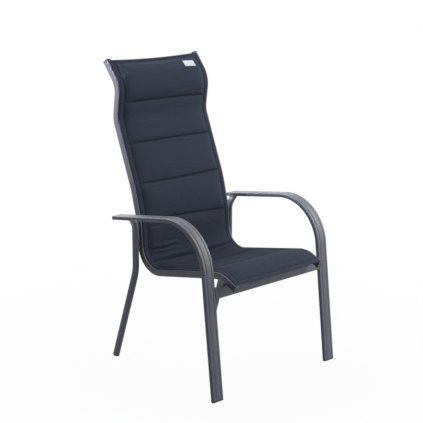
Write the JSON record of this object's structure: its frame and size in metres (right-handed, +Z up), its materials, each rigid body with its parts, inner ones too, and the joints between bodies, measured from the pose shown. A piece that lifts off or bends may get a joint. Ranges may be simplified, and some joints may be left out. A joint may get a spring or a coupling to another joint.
{
  "type": "sling patio chair",
  "caption": "High-back padded sling armchair with a curled headrest, bent flat-bar arms and front legs, and swept rear legs.",
  "frame": {"origin": "on the floor, at the middle of the chair's width and depth", "axes": "+X to the sitter's left, -Y the way the sitter faces, +Z up"},
  "size_m": [0.632, 0.6812, 1.1126],
  "materials": {
    "frame": "satin",
    "sling_fabric": "woven",
    "tab_fabric": "woven",
    "black_plastic": "matte",
    "grey_plastic": "satin",
    "bolt_steel": "satin"
  },
  "bodies": {
    "root": {"arm_cap_left": "black_plastic", "arm_cap_right": "black_plastic", "arm_front_leg_left": "frame", "arm_front_leg_right": "frame", "care_tab": "tab_fabric", "crossbar_bolt_left": "bolt_steel", "crossbar_bolt_right": "bolt_steel", "crossbar_bush_left": "black_plastic", "crossbar_bush_right": "black_plastic", "front_crossbar": "frame", "front_glide_left": "black_plastic", "front_glide_right": "black_plastic", "headrest_spreader_bar": "frame", "keder_rod_left": "black_plastic", "keder_rod_right": "black_plastic", "lumbar_spreader_bar": "frame", "padded_sling": "sling_fabric", "rail_bolt_lower_left": "bolt_steel", "rail_bolt_lower_right": "bolt_steel", "rail_bolt_upper_left": "bolt_steel", "rail_bolt_upper_right": "bolt_steel", "rail_front_cap_left": "grey_plastic", "rail_front_cap_right": "grey_plastic", "rail_spacer_lower_left": "black_plastic", "rail_spacer_lower_right": "black_plastic", "rail_spacer_upper_left": "black_plastic", "rail_spacer_upper_right": "black_plastic", "rail_top_cap_left": "black_plastic", "rail_top_cap_right": "black_plastic", "rear_glide_left": "black_plastic", "rear_glide_right": "black_plastic", "rear_leg_left": "frame", "rear_leg_right": "frame", "seat_spreader_bar": "frame", "sling_rail_left": "frame", "sling_rail_right": "frame"}
  },
  "joints": []
}
